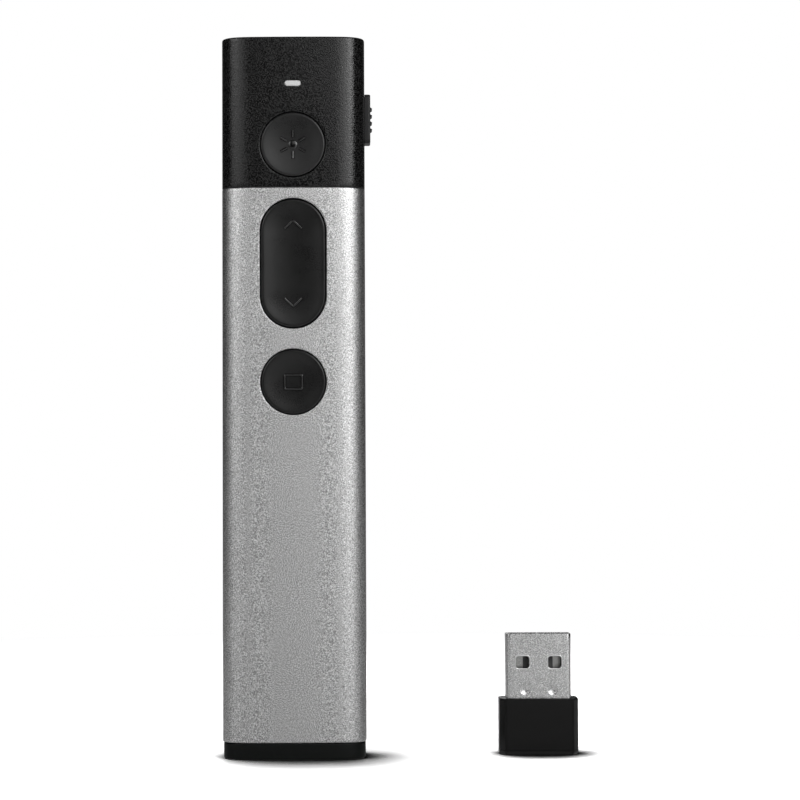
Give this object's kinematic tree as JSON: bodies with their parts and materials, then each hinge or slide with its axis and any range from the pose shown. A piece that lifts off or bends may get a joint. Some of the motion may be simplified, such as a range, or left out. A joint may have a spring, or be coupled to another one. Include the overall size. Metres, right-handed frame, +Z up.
{
  "type": "laser pointer",
  "caption": "Handheld laser pointer and page turner: flat metal sleeve, black head with round key and side slide, tilting pill key, pull-off end cap, and a plug-in receiver.",
  "frame": {"origin": "centre of the end cap's flat underside, on the plane that the pointer and its receiver stand on", "axes": "+Z up the pointer's length to the laser end, -Y out of the face with the keys, +X to the side with the power slide"},
  "size_m": [0.0658, 0.013, 0.133],
  "materials": {
    "sleeve_metal": "sand-blasted and anodised, silver-grey, satin",
    "head_plastic": "black, fine moulded grain",
    "cap_plastic": "near-black, satin",
    "key_plastic": "charcoal, smooth satin",
    "knob_plastic": "black, satin, ridged",
    "light_pipe_plastic": "milky, translucent",
    "chassis_plastic": "dark grey, moulded",
    "board_laminate": "green solder mask",
    "chip_resin": "black moulding resin",
    "switch_plastic": "grey, moulded",
    "plunger_plastic": "black, moulded",
    "steel": "bright steel",
    "copper_trace": "plated copper",
    "gold_contact": "gold plated",
    "barrel_brass": "turned brass",
    "clear_optic": "clear, polished",
    "cell_wrap": "plain wrapped can",
    "usb_steel": "satin folded steel",
    "tongue_plastic": "black insert",
    "receiver_plastic": "black, satin"
  },
  "bodies": {
    "housing": {"body_sleeve": "sleeve_metal", "head_shell": "head_plastic", "inner_chassis": "chassis_plastic", "main_board": "board_laminate", "board_screws": "steel", "laser_switch": "switch_plastic", "page_up_switch": "switch_plastic", "page_down_switch": "switch_plastic", "blank_switch": "switch_plastic", "page_up_plunger": "plunger_plastic", "page_down_plunger": "plunger_plastic", "rocker_pin": "steel", "slide_switch": "switch_plastic", "radio_chip": "chip_resin", "crystal": "steel", "antenna": "copper_trace", "status_led": "light_pipe_plastic", "light_pipe": "light_pipe_plastic", "laser_barrel": "barrel_brass", "laser_diode": "steel", "laser_lens": "clear_optic", "laser_window": "clear_optic", "battery_cell": "cell_wrap", "battery_contact_positive": "steel", "negative_strip": "steel"},
    "laser_button": {"laser_button": "key_plastic", "laser_plunger": "plunger_plastic"},
    "blank_button": {"blank_button": "key_plastic", "blank_plunger": "plunger_plastic"},
    "page_rocker": {"page_rocker": "key_plastic"},
    "power_knob": {"power_knob": "knob_plastic", "switch_lever": "plunger_plastic"},
    "end_cap": {"end_cap": "cap_plastic", "contact_plate": "steel", "battery_spring": "steel"},
    "receiver": {"receiver_cap": "receiver_plastic", "usb_shell": "usb_steel", "usb_tongue": "tongue_plastic", "usb_contacts": "gold_contact", "receiver_board": "board_laminate", "receiver_chip": "chip_resin"}
  },
  "joints": [
    {"name": "laser_press", "type": "slide", "parent": "housing", "child": "laser_button", "axis": [0, 1, 0], "range_m": [0, 0.00035], "stiffness_N_per_m": 2000},
    {"name": "blank_press", "type": "slide", "parent": "housing", "child": "blank_button", "axis": [0, 1, 0], "range_m": [0, 0.00035], "stiffness_N_per_m": 2000},
    {"name": "page_rock", "type": "hinge", "parent": "housing", "child": "page_rocker", "pos_m": [0, -0.0035, 0.09095], "axis": [1, 0, 0], "range_deg": [-2, 2], "stiffness_Nm_per_rad": 0.2},
    {"name": "power_slide", "type": "slide", "parent": "housing", "child": "power_knob", "axis": [0, 0, 1], "range_m": [0, 0.002]},
    {"name": "end_cap_pull", "type": "slide", "parent": "housing", "child": "end_cap", "axis": [0, 0, -1], "range_m": [0, 0.03]},
    {"name": "receiver_lift", "type": "slide", "parent": "housing", "child": "receiver", "axis": [0, 0, 1], "range_m": [0, 0.03]}
  ]
}
